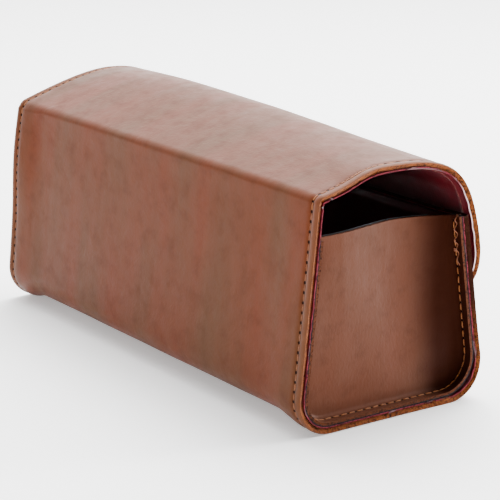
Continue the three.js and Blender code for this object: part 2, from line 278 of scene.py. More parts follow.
# how strongly each stretch flares at its ends, and how far in from the seams that reaches
FLARE_V = [FRONT, 1, BASE, 3, BACK, BACK + 0.9, CREASE, LID]
FLARE_SHARE = [0.6, 1, 2.3, 2.3, 1.1, 0.5, 0.2, 0]
REACH_V, REACH = [3, BACK], [11 * MM, 24 * MM]
GROOVE, GROOVE_WIDTH = 0.34 * MM, 0.8 * MM
BEAD, BEAD_AT, BEAD_WIDTH = 0.1 * MM, 1.3 * MM, 0.9 * MM
BULGE, BULGE_START, BULGE_FULL = 1.2 * MM, HALF - 16 * MM, HALF - 3 * MM
BROAD_WAVE, SMALL_WAVE = 0.22 * MM, 0.1 * MM
NUDGE = 2e-3


def bell(value, centre, width):
    return np.exp(-(((value - centre) / width) ** 2))


def waves(s, x):
    """Slow waves of the panels, the same on every run."""
    heights = [
        BROAD_WAVE * noise.noise(Vector((a * 22, b * 16, 3)))
        + SMALL_WAVE * noise.noise(Vector((a * 70, b * 55, 8)))
        for a, b in zip(np.ravel(s), np.ravel(x))
    ]
    return np.reshape(heights, np.shape(s))


def bulges(v, x):
    """Where use has pushed the ends out: low on the front at -X, and high on the back at +X."""
    near, far = smoothstep(BULGE_START, BULGE_FULL, -x), smoothstep(BULGE_START, BULGE_FULL, x)
    low = bell(v, 1.5, 0.42)
    high = bell(v, BACK + 0.72, 0.3) * (1 - smoothstep(CREASE - 0.02, CREASE + 1, v))
    return -BULGE * low * near - BULGE * high * far


def relief(s, x):
    """How far the outer face lies inside the fold line."""
    v = v_at(s)
    share = np.interp(v, FLARE_V, FLARE_SHARE)
    reach = np.interp(v, REACH_V, REACH)
    middle = 1 - smoothstep(HALF - reach, HALF - 4 * MM, np.abs(x))
    edge = edge_distance(s, x)
    groove = GROOVE * bell(edge, SEAM_MARGIN, GROOVE_WIDTH) * (s > 6 * MM)
    bead = -BEAD * bell(edge, BEAD_AT, BEAD_WIDTH)
    panel_waves = waves(s, x) * smoothstep(0, 9 * MM, edge)
    return FLARE * share * middle + groove + bead + bulges(v, x) + panel_waves


def on_blank(s, x, depth=0, with_relief=True):
    """Points at some depth under the outer face, and the directions inwards, for arrays of s and x."""
    s, x = np.broadcast_arrays(np.asarray(s, float), np.asarray(x, float))
    v = v_at(s)
    y, z = fold_line(v, x)
    ya, za = fold_line(np.clip(v - NUDGE, 0, LAST), x)
    yb, zb = fold_line(np.clip(v + NUDGE, 0, LAST), x)
    length = np.hypot(yb - ya, zb - za)
    inward = np.stack([np.zeros_like(y), -(zb - za) / length, (yb - ya) / length], -1)
    under = depth + (relief(s, x) if with_relief else 0)
    return np.stack([x, y, z], -1) + inward * np.asarray(under)[..., None], inward


print("mid-back outer face", np.round(on_blank(s_at(4.5), 0.0)[0] / MM, 1))

# %% [markdown]
# ## Making a sheet
# Each leather panel or lining starts as a flat `create_grid`, which is folded onto the surface point
# by point and then given its thickness with Solidify. The grid is fine near the cut edges, where the
# stitches and the burnished rim are, and coarse in the middle. Two UV maps are kept: `Blank`, the
# flat pattern in metres, so that the grain has its real size, and `Seam`, the distance from the cut
# edge and the way along it, so that needle holes can follow the stitches.

# %% Grid spacing
NEAR_EDGE = MM * np.array(
    [0, 0.12, 0.3, 0.55, 0.9, 1.3, 1.75, 2.2, 2.6, 3, 3.4, 3.8, 4.4, 5.2, 6.4, 8, 10, 12.5]
)
# an odd number, so that one column lies at x = 0, where the seams from both ends meet
MIDDLE_COLUMNS = 47
ROW_STEP, CREASE_STEP, CREASE_MARGIN = 1.5 * MM, 0.45 * MM, 4 * MM


def columns(half):
    """Places across a sheet of this half-width: close together near both edges."""
    inner = np.linspace(-(half - NEAR_EDGE[-1]), half - NEAR_EDGE[-1], MIDDLE_COLUMNS)[1:-1]
    return np.concatenate([NEAR_EDGE - half, inner, (half - NEAR_EDGE)[::-1]])


def rows(start, end, fine_start=False, fine_end=False):
    """Places along a sheet, close together over the crease and at the ends that are cut edges."""
    a = start + (NEAR_EDGE[-1] if fine_start else 0)
    b = end - (NEAR_EDGE[-1] if fine_end else 0)
    parts = [start + NEAR_EDGE[:-1]] if fine_start else []
    crease_a, crease_b = s_at(CREASE) - CREASE_MARGIN, s_at(LID) + CREASE_MARGIN
    stops = [a, crease_a, crease_b, b] if a < crease_a < b else [a, b]
    for p, q in zip(stops, stops[1:]):
        spacing = CREASE_STEP if (p, q) == (crease_a, crease_b) else ROW_STEP
        parts.append(np.linspace(p, q, max(2, int((q - p) / spacing)))[:-1])
    parts.append((end - NEAR_EDGE)[::-1] if fine_end else np.array([end]))
    return np.concatenate(parts)


print(len(columns(HALF)), "columns,", len(rows(0, BLANK, True, True)), "rows for the whole blank")


# %% A folded grid
CRISP_ANGLE = math.radians(48)


def finish_mesh(piece):
    """Applies the piece's modifiers, so that its mesh is final."""
    bpy.context.view_layer.update()
    depsgraph = bpy.context.evaluated_depsgraph_get()
    mesh = bpy.data.meshes.new_from_object(piece.evaluated_get(depsgraph))
    piece.modifiers.clear()
    piece.data = mesh
    bm = bmesh.new()
    bm.from_mesh(mesh)
    for edge in bm.edges:
        edge.smooth = edge.calc_face_angle(0) < CRISP_ANGLE
    bm.to_mesh(mesh)
    bm.free()
    return piece


def new_piece(name, bm, materials):
    mesh = bpy.data.meshes.new(name)
    bm.to_mesh(mesh)
    bm.free()
    piece = bpy.data.objects.new(name, mesh)
    link(piece)
    for material in materials:
        mesh.materials.append(material)
    for polygon in mesh.polygons:
        polygon.use_smooth = True
    return piece


def grid_sheet(points, flat, seam, flip=False):
    """A bmesh grid laid onto an array of points, with its two UV maps."""
    count_r, count_c = points.shape[:2]
    bm = bmesh.new()
    bmesh.ops.create_grid(bm, x_segments=count_c - 1, y_segments=count_r - 1, size=1)
    maps = [bm.loops.layers.uv.new("Blank"), bm.loops.layers.uv.new("Seam")]
    place = {}
    for vert in bm.verts:
        c = round((vert.co.x + 1) / 2 * (count_c - 1))
        r = round((vert.co.y + 1) / 2 * (count_r - 1))
        place[vert] = (r, c)
        vert.co = points[r, c]
    for face in bm.faces:
        for loop in face.loops:
            for uv, values in zip(maps, (flat, seam)):
                loop[uv].uv = values[place[loop.vert]]
    if flip:
        bmesh.ops.reverse_faces(bm, faces=bm.faces)
    return bm


def thicken(piece, thickness, share=None, inner=1, rim=1):
    """Gives the sheet its thickness behind its face. The back takes material `inner` and the cut edge `rim`.
    `share` is how much of the thickness is left at each point, where the edge is pared thinner."""
    solidify = piece.modifiers.new("thickness", "SOLIDIFY")
    solidify.thickness = thickness
    if share is not None:
        group = piece.vertex_groups.new(name="share")
        for index, value in enumerate(share):
            group.add([index], float(value), "REPLACE")
        solidify.vertex_group = "share"
    solidify.offset = -1
    solidify.material_offset = inner
    solidify.material_offset_rim = rim
    return finish_mesh(piece)


print("helpers ready")

# %% [markdown]
# ## Colours and nodes
# One function turns a hex colour into the linear numbers that a socket takes, one fills a node's
# inputs, and one adds a node with its settings and links. Every material below is built with these.


# %% Material helpers
def linear(hex_colour):
    channels = [int(hex_colour[i : i + 2], 16) / 255 for i in (1, 3, 5)]
    return [c / 12.92 if c <= 0.04045 else ((c + 0.055) / 1.055) ** 2.4 for c in channels] + [1]


def fill(node, inputs):
    """Fills or links a node's inputs."""
    for socket, value in inputs.items():
        if isinstance(value, bpy.types.NodeSocket):
            node.id_data.links.new(value, node.inputs[socket])
        else:
            node.inputs[socket].default_value = value


# what a Mix node is told so that it mixes colours
COLOURS = {"data_type": "RGBA", "out": "Result"}


def add(tree, kind, inputs=None, out=0, **settings):
    """Adds a shader node, sets its properties, fills or links its inputs, and returns one output."""
    made = tree.nodes.new("ShaderNode" + kind)
    for name, value in settings.items():
        setattr(made, name, value)
    fill(made, inputs or {})
    return made.outputs[out]


def start(name):
    """A new material: its node tree and its Principled shader."""
    material = bpy.data.materials.new(name)
    material.use_nodes = True
    return material, material.node_tree, material.node_tree.nodes["Principled BSDF"]


print("material helpers ready")

# %% [markdown]
# ## Smooth brown leather
# Vegetable-tanned cowhide, dyed through, with its grain left on and a wax finish. The dye takes
# unevenly, so red-brown and grey-brown clouds lie over each other. The grain is a net of pores and
# fine creases about 0.6 mm apart, and the wax gives a broad, soft sheen. The gussets are a thinner,
# slacker piece of the same hide. Towards the front seam they carry a painted shade, darker and less
# glossy, for the shadow that the flap and the front rim cast there.
#
# The clouds are noise at three sizes, the grain is a Voronoi net and a finer noise in the bump, and
# the needle holes and the pulled leather round them come from the `Seam` map. A noise scale is the
# number of its cells in a metre.

# %% Leather material
LEATHER_COLOURS = "#602b17", "#4f331f", "#431f12", "#6d4835"
GUSSET_COLOURS = "#572f20", "#503326", "#36180d", "#5f3e2e"
PAINTED_SHADE_COLOUR, HOLE_COLOUR, WAX_TINT = "#260d06", "#1c0d08", "#b0704a"
HOLE_INNER, HOLE_OUTER = 0.34 * MM, 0.62 * MM
# the width of the pale band outside the stitches: worn dye, with a painted highlight of the rounded edge
WORN_AND_HIGHLIGHT_BAND = 2.9 * MM


def leather_material(
    name, colours, wrinkle=(1, 1, 1), wrinkle_height=0.1, clouds_scale=(62, 13, 1), streak=0.1, painted_shade=None
):
    """`colours` are red, grey, dark and pale. The last argument gives where a painted shade, darker and
    less glossy, starts and is full, along the flat pattern's first direction."""
    red, grey, dark, pale = colours
    material, tree, shader = start(name)
    blank = add(tree, "UVMap", uv_map="Blank")
    seam = add(tree, "UVMap", uv_map="Seam")
    from_edge = add(tree, "SeparateXYZ", {"Vector": seam}, out="X")
    on_seam = add(tree, "SeparateXYZ", {"Vector": seam}, out="Y")
    clouds_at = add(tree, "Mapping", {"Vector": blank, "Scale": clouds_scale})
    clouds = add(tree, "TexNoise", {"Vector": clouds_at, "Scale": 1, "Detail": 5})
    mottle = add(tree, "TexNoise", {"Vector": blank, "Scale": 160, "Detail": 4, "Roughness": 0.65})
    streaks_at = add(tree, "Mapping", {"Vector": blank, "Scale": (260, 28, 1)})
    streaks = add(tree, "TexNoise", {"Vector": streaks_at, "Scale": 1, "Detail": 4})
    # the layers of dye: what each follows, where that starts and ends, its share at both, its colour
    layers = [
        (clouds, 0.26, 0.74, 0, 1, grey),
        (mottle, 0.5, 0.8, 0, 0.45, dark),
        (streaks, 0.45, 0.85, 0, streak, pale),
        # the band outside the stitches is worn paler, and its paleness is partly a painted highlight of the
        # rounded edge
        (from_edge, 0, WORN_AND_HIGHLIGHT_BAND, 0.5, 0, pale),
    ]
    colour = linear(red)
    for value, first, last, low, high, over in layers:
        span = {"Value": value, "From Min": first, "From Max": last, "To Min": low, "To Max": high}
        dyes = {"Factor": add(tree, "MapRange", span), "A": colour, "B": linear(over)}
        colour = add(tree, "Mix", dyes, **COLOURS)
    specular = 0.07
    # painted shade: darker and less glossy towards the gusset's front seam, for the shadow cast there
    if painted_shade:
        flat = add(tree, "SeparateXYZ", {"Vector": blank}, out="X")
        span = {"Value": flat, "From Min": painted_shade[0], "From Max": painted_shade[1], "To Max": 0.93}
        painted_shade_mask = add(tree, "MapRange", span, interpolation_type="SMOOTHSTEP")
        colour = add(tree, "Mix", {"Factor": painted_shade_mask, "A": colour, "B": linear(PAINTED_SHADE_COLOUR)}, **COLOURS)
        specular = add(tree, "MapRange", {"Value": painted_shade_mask, "To Min": 0.19, "To Max": 0.02})
    # needle holes: one each stitch pitch, on the stitch line
    along = on_seam
    for operation, by in (("DIVIDE", PITCH), ("FRACT", 0), ("SUBTRACT", 0.5), ("MULTIPLY", PITCH)):
        along = add(tree, "Math", {0: along, 1: by}, operation=operation)
    across = add(tree, "Math", {0: from_edge, 1: SEAM_MARGIN}, operation="SUBTRACT")
    spot = add(tree, "CombineXYZ", {"X": along, "Y": across})
    reach = add(tree, "VectorMath", {0: spot}, operation="LENGTH", out="Value")
    span = {"Value": reach, "From Min": HOLE_INNER, "From Max": HOLE_OUTER, "To Min": 1, "To Max": 0}
    hole = add(tree, "MapRange", span, interpolation_type="SMOOTHSTEP")
    colour = add(tree, "Mix", {"Factor": hole, "A": colour, "B": linear(HOLE_COLOUR)}, **COLOURS)

    # the grain from fine to coarse: its height, its strength and how far it stands up, in mm
    net = add(tree, "TexVoronoi", {"Vector": blank, "Scale": 1700})
    pores = add(tree, "TexNoise", {"Vector": blank, "Scale": 900, "Detail": 3})
    wrinkle_at = add(tree, "Mapping", {"Vector": blank, "Scale": wrinkle})
    creases = add(tree, "TexNoise", {"Vector": wrinkle_at, "Scale": 120, "Detail": 6, "Distortion": 0.6})
    grain = (net, 0.22, 0.05), (pores, 0.3, 0.12), (creases, 0.5, 3 * wrinkle_height)
    under = {}
    for height, strength, distance in grain:
        bump = {"Height": height, "Strength": strength, "Distance": distance * MM} | under
        under = {"Normal": add(tree, "Bump", bump)}
    pulled = {"Height": hole, "Strength": 1, "Distance": 0.5 * MM} | under
    shine = {"Value": mottle, "From Min": 0.3, "From Max": 0.7, "To Min": 0.36, "To Max": 0.5}
    fill(shader, {"Base Color": colour, "Normal": add(tree, "Bump", pulled, invert=True)})
    fill(shader, {"Roughness": add(tree, "MapRange", shine)})
    fill(shader, {"Specular IOR Level": specular, "Specular Tint": linear(WAX_TINT)})
    return material


brown_leather = leather_material("vegetable_tanned_leather", LEATHER_COLOURS)
# the gussets' last argument paints a shade towards their front seam, for the shadow the flap's rim casts
gusset_leather = leather_material(
    "gusset_leather",
    GUSSET_COLOURS,
    wrinkle=(8, 4.2, 1),
    wrinkle_height=0.055,
    clouds_scale=(34, 26, 1),
    streak=0,
    painted_shade=(-8 * MM, -21 * MM),
)
print("made", brown_leather.name, gusset_leather.name)

# %% [markdown]
# ## Raw cut edges
# Where leather is cut, its fibres show: matted orange-brown suede with dark specks where the knife
# and the wax left them. It is as rough as felt, so the bump is strong and there is hardly any gloss.
# It is painted darker near the front wall's top, a painted shade for the shadow under the flap. The
# lining's cotton backing frays in the same way and is stained red by its coating. Along the flap its
# edge is painted pale, a painted highlight where the lining's glossy edge catches the light.


# %% Cut edge material
def fibre_material(name, light, middle, dark, other=None):
    """Matted fibres in three tones. `other` is a fourth, and where on the pattern it starts and is full."""
    material, tree, shader = start(name)
    where = add(tree, "TexCoord", out="Object")
    fibre = add(tree, "TexNoise", {"Vector": where, "Scale": 1250, "Detail": 3, "Roughness": 0.7})
    patch = add(tree, "TexNoise", {"Vector": where, "Scale": 330, "Detail": 3})
    speck = add(tree, "MapRange", {"Value": fibre, "From Min": 0.46, "From Max": 0.66})
    layers = [(patch, light), (speck, dark)]
    if other:
        tone, begins, full = other
        blank = add(tree, "UVMap", uv_map="Blank")
        along = add(tree, "SeparateXYZ", {"Vector": blank}, out="Y")
        beyond = add(tree, "MapRange", {"Value": along, "From Min": begins, "From Max": full})
        layers.append((beyond, tone))
    colour = linear(middle)
    for mask, over in layers:
        colour = add(tree, "Mix", {"Factor": mask, "A": colour, "B": linear(over)}, **COLOURS)
    bump = add(tree, "Bump", {"Height": fibre, "Strength": 1, "Distance": 0.35 * MM})
    fill(shader, {"Base Color": colour, "Normal": bump, "Roughness": 0.9})
    fill(shader, {"Specular IOR Level": 0.08, "Sheen Weight": 0.04})
    return material


# the fourth tone paints the cut edges near the front wall's top darker: a painted shade for the shadow under
# the flap
raw_edge = fibre_material(
    "raw_cut_leather_edge", "#8c4c22", "#653418", "#241009", other=("#321509", 44 * MM, 26 * MM)
)
# along the flap the backing's edge is painted pale: a painted highlight where the lining's glossy edge
# catches the light
FLAP_HIGHLIGHT_S = s_at(SHOULDER + 0.55)
backing = fibre_material(
    "lining_cotton_backing", "#9a3644", "#43131a", "#1a0508", other=("#e8c8c8", FLAP_HIGHLIGHT_S, FLAP_HIGHLIGHT_S + 8 * MM)
)
print("made", raw_edge.name, backing.name)

# %% [markdown]
# ## Linings
# The wrap is lined with a coated burgundy sheet, smooth and a little glossy, on a cotton backing
# that shows at its cut edge, with a painted highlight on it along the flap. The gussets are lined
# with plain black cloth. Both are drawn with a weave, at about one thread a millimetre.


# %% Lining materials
def lining_material(name, colour, deep, roughness, weave_height):
    material, tree, shader = start(name)
    blank = add(tree, "UVMap", uv_map="Blank")
    warp = add(tree, "TexWave", {"Vector": blank, "Scale": 320}, bands_direction="X", out="Fac")
    weft = add(tree, "TexWave", {"Vector": blank, "Scale": 320}, bands_direction="Y", out="Fac")
    weave = add(tree, "Math", {0: warp, 1: weft}, operation="MULTIPLY")
    shade = add(tree, "TexNoise", {"Vector": blank, "Scale": 90, "Detail": 4})
    tint = add(tree, "Mix", {"Factor": shade, "A": linear(deep), "B": linear(colour)}, **COLOURS)
    bump = add(tree, "Bump", {"Height": weave, "Strength": 0.4, "Distance": weave_height})
    ripples = {"Height": shade, "Strength": 0.5, "Distance": 0.8 * MM, "Normal": bump}
    fill(shader, {"Base Color": tint, "Normal": add(tree, "Bump", ripples), "Roughness": roughness})
    return material


burgundy = lining_material("coated_burgundy_lining", "#5c0d18", "#3a070f", 0.38, 0.03 * MM)
black_cloth = lining_material("black_lining_cloth", "#15161b", "#0b0b0e", 0.65, 0.05 * MM)
print("made", burgundy.name, black_cloth.name)

# %% [markdown]
# ## Thread
# Waxed polyester thread, three-ply, dyed golden brown. A wave across each stitch draws the twist of
# the plies, a little coarser than the real 0.2 mm so that it shows. It is golden on the lid and
# inside the ends and darker where the case is held. The bobbin thread on the lining side is the same
# thread, painted dark red as a painted shade for the shadow inside the lid and the flap.

# %% Thread material
def thread_material(name, shade, light):
    material, tree, shader = start(name)
    thread_uv = add(tree, "UVMap", uv_map="Blank")
    twist = {"Vector": thread_uv, "Scale": 1.6, "Distortion": 0.4}
    plies = add(tree, "TexWave", twist, bands_direction="DIAGONAL", out="Fac")
    colour = add(tree, "Mix", {"Factor": plies, "A": linear(shade), "B": linear(light)}, **COLOURS)
    bump = add(tree, "Bump", {"Height": plies, "Strength": 0.6, "Distance": 0.1 * MM})
    fill(shader, {"Base Color": colour, "Normal": bump, "Roughness": 0.6})
    return material


waxed_thread = thread_material("waxed_sewing_thread", "#6d3610", "#b26a26")
worn_thread = thread_material("handled_sewing_thread", "#582b0f", "#93521f")
# painted shade: the bobbin thread inside the lid and flap is painted dark red for the shadow there
bobbin_thread = thread_material("painted_shade_bobbin_thread", "#3c120c", "#6b2a1c")
print("made", waxed_thread.name, worn_thread.name, bobbin_thread.name)

# %% [markdown]
# ## The leather blank, in three pieces
# The real blank is one piece. Here it is parted twice. One parting is under the base, out of sight.
# The other is across the top of the lid, just in front of the ridge. The first piece rides with the
# body. All three are laid on the same surface, so nothing shows where they meet.

# %% Leather sheets
PART_S = s_at(SHOULDER + 0.16)
UNDER_S = s_at(BASE + 0.5)


def seam_map(s, x):
    """Distance from the cut edge, and the way along it: down the ends and round the flap."""
    edge = edge_distance(s, x)
    past = s > CORNER_S
    angle = np.arctan2(s - CORNER_S, np.maximum(np.abs(x) - CORNER_X, 1e-9))
    arc_length = SEAM_RADIUS * angle
    in_corner = past & (np.abs(x) > CORNER_X)
    along = np.where(past, CORNER_S + CORNER_ARC + CORNER_X - np.abs(x), s)
    along = np.where(in_corner, CORNER_S + arc_length, along)
    return np.stack([edge, along], -1)


def blank_sheet(points, s, x):
    """A grid laid onto points of the blank, with both of its maps."""
    return grid_sheet(points, np.stack([x, s], -1), seam_map(s, x), flip=True)


def ragged(x, s, which, size, pace, seed):
    """A cut made by hand: moves some columns of places in and out, along the whole sheet."""
    for column in which:
        x[:, column] += [size * noise.noise(Vector((value * pace, column, seed))) for value in s[:, 0]]


BURNISH, HAND_CUT = 0.26 * MM, 0.12 * MM


def burnish(s, x):
    """How much of the grain side is rubbed away at the cut edge, which makes it round."""
    return BURNISH * np.clip(1 - edge_distance(s, x) / (0.7 * MM), 0, 1) ** 2


def blank_grid(start_s, end_s, inset=0, **fine):
    """Places on the blank, rows by columns, with the cut edges drawn in by `inset`."""
    s = rows(start_s, end_s, **fine)
    x = np.stack([columns(half_width(value) - inset) for value in s])
    return np.repeat(s[:, None], x.shape[1], 1), x


def leather_sheet(name, start_s, end_s, **fine):
    s, x = blank_grid(start_s, end_s, **fine)
    rubbed = burnish(s, x)
    ragged(x, s, (0, -1), HAND_CUT, 700, 2)
    points, _ = on_blank(s, x, rubbed)
    points[..., 2] = np.maximum(points[..., 2], 0)
    bm = blank_sheet(points, s, x)
    # create_grid lays its vertices row by row, so the shares are in the same order
    return thicken(new_piece(name, bm, [brown_leather, raw_edge]), LEATHER, np.ravel(1 - rubbed / LEATHER))


front_leather = leather_sheet("front_and_base_leather", 0, UNDER_S, fine_start=True)
body_leather = leather_sheet("back_and_lid_leather", UNDER_S, PART_S)
flap_leather = leather_sheet("flap_leather", PART_S, BLANK, fine_end=True)


def bend_at_crease(piece):
    """Bakes the piece's placement into its mesh."""
    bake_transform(piece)


def bend_at_shoulder(piece):
    """Bakes the piece's placement into its mesh."""
    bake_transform(piece)


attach(front_leather, "body")
bend_at_crease(body_leather)
bend_at_shoulder(flap_leather)
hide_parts("body_wrap")
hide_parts("body_wrap")
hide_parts("lid_panel", "flap_panel")

# %% [markdown]
# ## The burgundy lining
# One sheet of coated lining is glued to the whole blank and trimmed with it, so its cut edge runs
# round the leather's, a little frayed. In the case it also covers the stiffening boards, so it
# stands a little prouder there. It is made like the leather, on the same surface but deeper.

# %% Where the boards are
BOARD_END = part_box("back_board")[1].x
BOARD = 0.95 * MM
BOARD_GLUE, LINING_GLUE = 0.05 * MM, 0.12 * MM


def s_at_height(stretch, z):
    """Where the blank passes this height, on one of its stretches."""
    v = np.linspace(stretch, stretch + 1, 200)
    heights = fold_line(v, 0)[1]
    order = np.argsort(heights)
    return s_at(np.interp(z, heights[order], v[order]))


def board_span(node, stretch):
    """The first and last place on the blank of one board, from its CAD box."""
    low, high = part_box(node)
    if stretch == BASE:
        y = np.array([low.y, high.y])
        start_y, end_y = front_corner(1)[0], back_corner(0)[0]
        return s_at(BASE + (y - start_y) / (end_y - start_y))
    return sorted(s_at_height(stretch, z) for z in (low.z, high.z))


BOARDS = {
    node: board_span(node, stretch)
    for node, stretch in (("front_board", FRONT), ("base_board", BASE), ("back_board", BACK))
}
# the board stops short of the crease, so that the lining has room to turn
BOARDS["back_board"][1] -= 3 * MM
print({name: np.round(np.array(span) / MM, 1) for name, span in BOARDS.items()})

# %% Lining sheets
FRAY = 0.45 * MM
# the lining stands off beyond a board's edge, and is back on the leather a little further on
STAND_OFF, FOOT, END_FOOT = 0.3 * MM, 2.4 * MM, 3 * MM


def lining_depth(s, x):
    """How deep the lining's glued side lies: on the leather, or over the boards."""
    along_board = 0
    for first, last in BOARDS.values():
        rise = smoothstep(first - FOOT, first - STAND_OFF, s)
        fall = smoothstep(last + STAND_OFF, last + FOOT, s)
        along_board = np.maximum(along_board, rise * (1 - fall))
    past_end = smoothstep(BOARD_END + STAND_OFF, BOARD_END + END_FOOT, np.abs(x))
    return LEATHER + relief(s, x) + along_board * (1 - past_end) * (BOARD + LINING_GLUE)


def lining_sheet(name, start_s, end_s, **fine):
    s, x = blank_grid(start_s, end_s, inset=0.3 * MM, **fine)
    ragged(x, s, (0, 1, -2, -1), FRAY, 900, 5)
    points, _ = on_blank(s, x, lining_depth(s, x), with_relief=False)
    bm = blank_sheet(points, s, x)
    return thicken(new_piece(name, bm, [burgundy, backing]), LINING, inner=0)


front_lining = lining_sheet("front_and_base_lining", 0.2 * MM, UNDER_S, fine_start=True)
body_lining = lining_sheet("back_and_lid_lining", UNDER_S, PART_S)
flap_lining = lining_sheet("flap_lining_sheet", PART_S, BLANK - 0.3 * MM, fine_end=True)
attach(front_lining, "body")
bend_at_crease(body_lining)
bend_at_shoulder(flap_lining)
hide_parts("body_lining")
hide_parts("body_lining")
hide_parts("lid_lining", "flap_lining")

# %% [markdown]
# ## The gussets
# A gusset is cut as a U-shaped piece with a straight top. Its margin is folded outwards and sewn
# between the wrap's ends, so the case keeps its shape when the lid is open. Its middle is pushed in
# by use, and the leather that has no board behind it wrinkles.
#
# It is a grid too: one way goes round the U, and the other goes from the cut edge of the flange,
# through the fold, and in over the face to the middle of the top edge, where the rings close.

# %% Gusset sheet
FLANGE_DEPTH = LEATHER + 2 * LINING + GUSSET_LEATHER
GUSSET_TOP = MOUTH_Z + 0.2 * MM
GUSSET_END_S = s_at_height(BACK, GUSSET_TOP)
FOLD_X, FOLD_RADIUS, FOLD_ANGLE = 81.9 * MM, 1.5 * MM, math.radians(78)
MIDDLE_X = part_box("gusset_left")[0].x
VALLEY_Y = -8 * MM
FLANGE_X = np.array([84.6, 84.35, 83.9, 83.4, 82.9, 82.5, 82.2, 81.9]) * MM
PLACES_ROUND, RINGS, SAMPLE_ROW = 118, 44, 60
BOW_FOOT, BOW_FULL = 5 * MM, 42 * MM
# the cloth ends a little above the leather, so that its cut edge shows
CLOTH_GLUE, CLOTH_BAND, CLOTH_RISE = 0.02 * MM, 0.6 * MM, 0.25 * MM


def gusset_grid(side):
    """Points of the gusset's outer face: rows round the U, columns from the flange's edge to the middle."""
    plain = np.linspace(3 * MM, GUSSET_END_S - 3 * MM, PLACES_ROUND)
    s = np.concatenate([NEAR_EDGE[:9], plain, GUSSET_END_S - NEAR_EDGE[8::-1]])
    rim, inward = on_blank(s, np.full_like(s, HALF), FLANGE_DEPTH, with_relief=False)
    centre = np.array([0, -2 * MM, GUSSET_TOP])
    columns_out = [(x, 0.0) for x in FLANGE_X]
    for angle in np.linspace(0, FOLD_ANGLE, 7)[1:]:
        columns_out.append((FOLD_X - FOLD_RADIUS * math.sin(angle), FOLD_RADIUS * (1 - math.cos(angle))))
    points = [rim + inward * d for _, d in columns_out]
    depth_x = [np.full(len(s), x) for x, _ in columns_out]
    fold_x, fold_d = columns_out[-1]
    inner = rim + inward * fold_d
    for share in np.linspace(1, 0, RINGS)[1:]:
        ring = centre + (inner - centre) * share
        points.append(ring)
        depth_x.append(fold_x - (fold_x - MIDDLE_X) * bow(ring) + wrinkles(ring, share, side))
    points, depth_x = np.stack(points, 1), np.stack(depth_x, 1)
    points[..., 0] = side * depth_x
    return s, points


def bow(ring):
    """How far the gusset is pushed in, from 0 at its seams to 1 where it is deepest, near the front."""
    y, z = ring[:, 1], ring[:, 2]
    to_front = np.clip((VALLEY_Y - y) / (VALLEY_Y - front_y(z) - FLANGE_DEPTH), 0, 1)
    to_back = np.clip((y - VALLEY_Y) / (back_y(z) - FLANGE_DEPTH - VALLEY_Y), 0, 1)
    across = (1 - to_front**2) * (1 - smoothstep(0, 0.72, to_back))
    return across * smoothstep(BOW_FOOT, BOW_FULL, z)


def wrinkles(ring, share, side):
    """Slack leather: upright wrinkles, and a low fold that runs along the bottom seam."""
    fade = smoothstep(0, 0.12, 1 - share)
    out = []
    for _, y, z in ring:
        upright = noise.noise(Vector((y * 420, z * 45, side))) * smoothstep(0.0, 0.057, z)
        broad = noise.noise(Vector((y * 80, z * 60, 4 + side)))
        level = noise.noise(Vector((y * 40, z * 260, 7 + side)))
        fold = bell(z, 9.5 * MM + 20 * MM * y, 2.6 * MM)
        out.append((0.07 * upright + 0.4 * broad + 0.09 * level - 0.3 * fold) * MM)
    return np.array(out) * fade


def gusset(side, name):
    s, points = gusset_grid(side)
    steps = np.concatenate([[0], np.cumsum(np.linalg.norm(np.diff(points[SAMPLE_ROW], axis=0), axis=1))])
    edge = np.broadcast_to(HALF - FLANGE_X[0] + steps, points.shape[:2])
    along = np.broadcast_to(s[:, None], points.shape[:2])
    bm = grid_sheet(points, points[..., 1:], np.stack([edge, along], -1))
    bm.normal_update()
    if side * sum(face.normal.x for face in bm.faces) < 0:
        bmesh.ops.reverse_faces(bm, faces=bm.faces)
    bmesh.ops.remove_doubles(bm, verts=bm.verts, dist=1e-6)
    bm.normal_update()
    backside = bm.copy()
    leather = thicken(new_piece(name, bm, [gusset_leather, gusset_edge]), GUSSET_LEATHER)
    for vert in backside.verts:
        vert.co -= vert.normal * (GUSSET_LEATHER + CLOTH_GLUE)
        if vert.co.z > GUSSET_TOP - CLOTH_BAND:
            vert.co.z += CLOTH_RISE
    cloth = thicken(new_piece(name + "_lining_cloth", backside, [black_cloth, cloth_edge]), LINING, inner=0)
    return leather, cloth


gusset_edge = fibre_material("pared_gusset_edge", "#5c3018", "#472110", "#190904")
CLOTH_TOP = ("#56646f", GUSSET_TOP - 0.4 * MM, GUSSET_TOP - 0.1 * MM)
cloth_edge = fibre_material("cut_black_cloth_edge", "#1d2026", "#121419", "#08080a", other=CLOTH_TOP)
for side, hand in ((1, "left"), (-1, "right")):
    leather, cloth = gusset(side, hand + "_gusset")
    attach(leather, "body")
    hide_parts("gusset_" + hand)
    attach(cloth, "body")
    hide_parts("gusset_lining_" + hand)
    print(hand, "gusset", len(leather.data.polygons), "faces and", len(cloth.data.polygons), "of lining")

# %% [markdown]
# ## Stitches
# The seams are a lockstitch in waxed thread, 3 mm in from the cut edge, with a hole every 2.85 mm.
# Each stitch is a small rounded bar that sinks into its holes at both ends. It is modelled once, with
# a few dozen faces, and laid along the seam by a turn and a move, a few hundred times.

# %% One stitch, and a seam of them
STITCH, THREAD = 2.1 * MM, 0.4 * MM
NEAR_STEP, INNER_SEAT = 0.6 * MM, 0.2 * MM


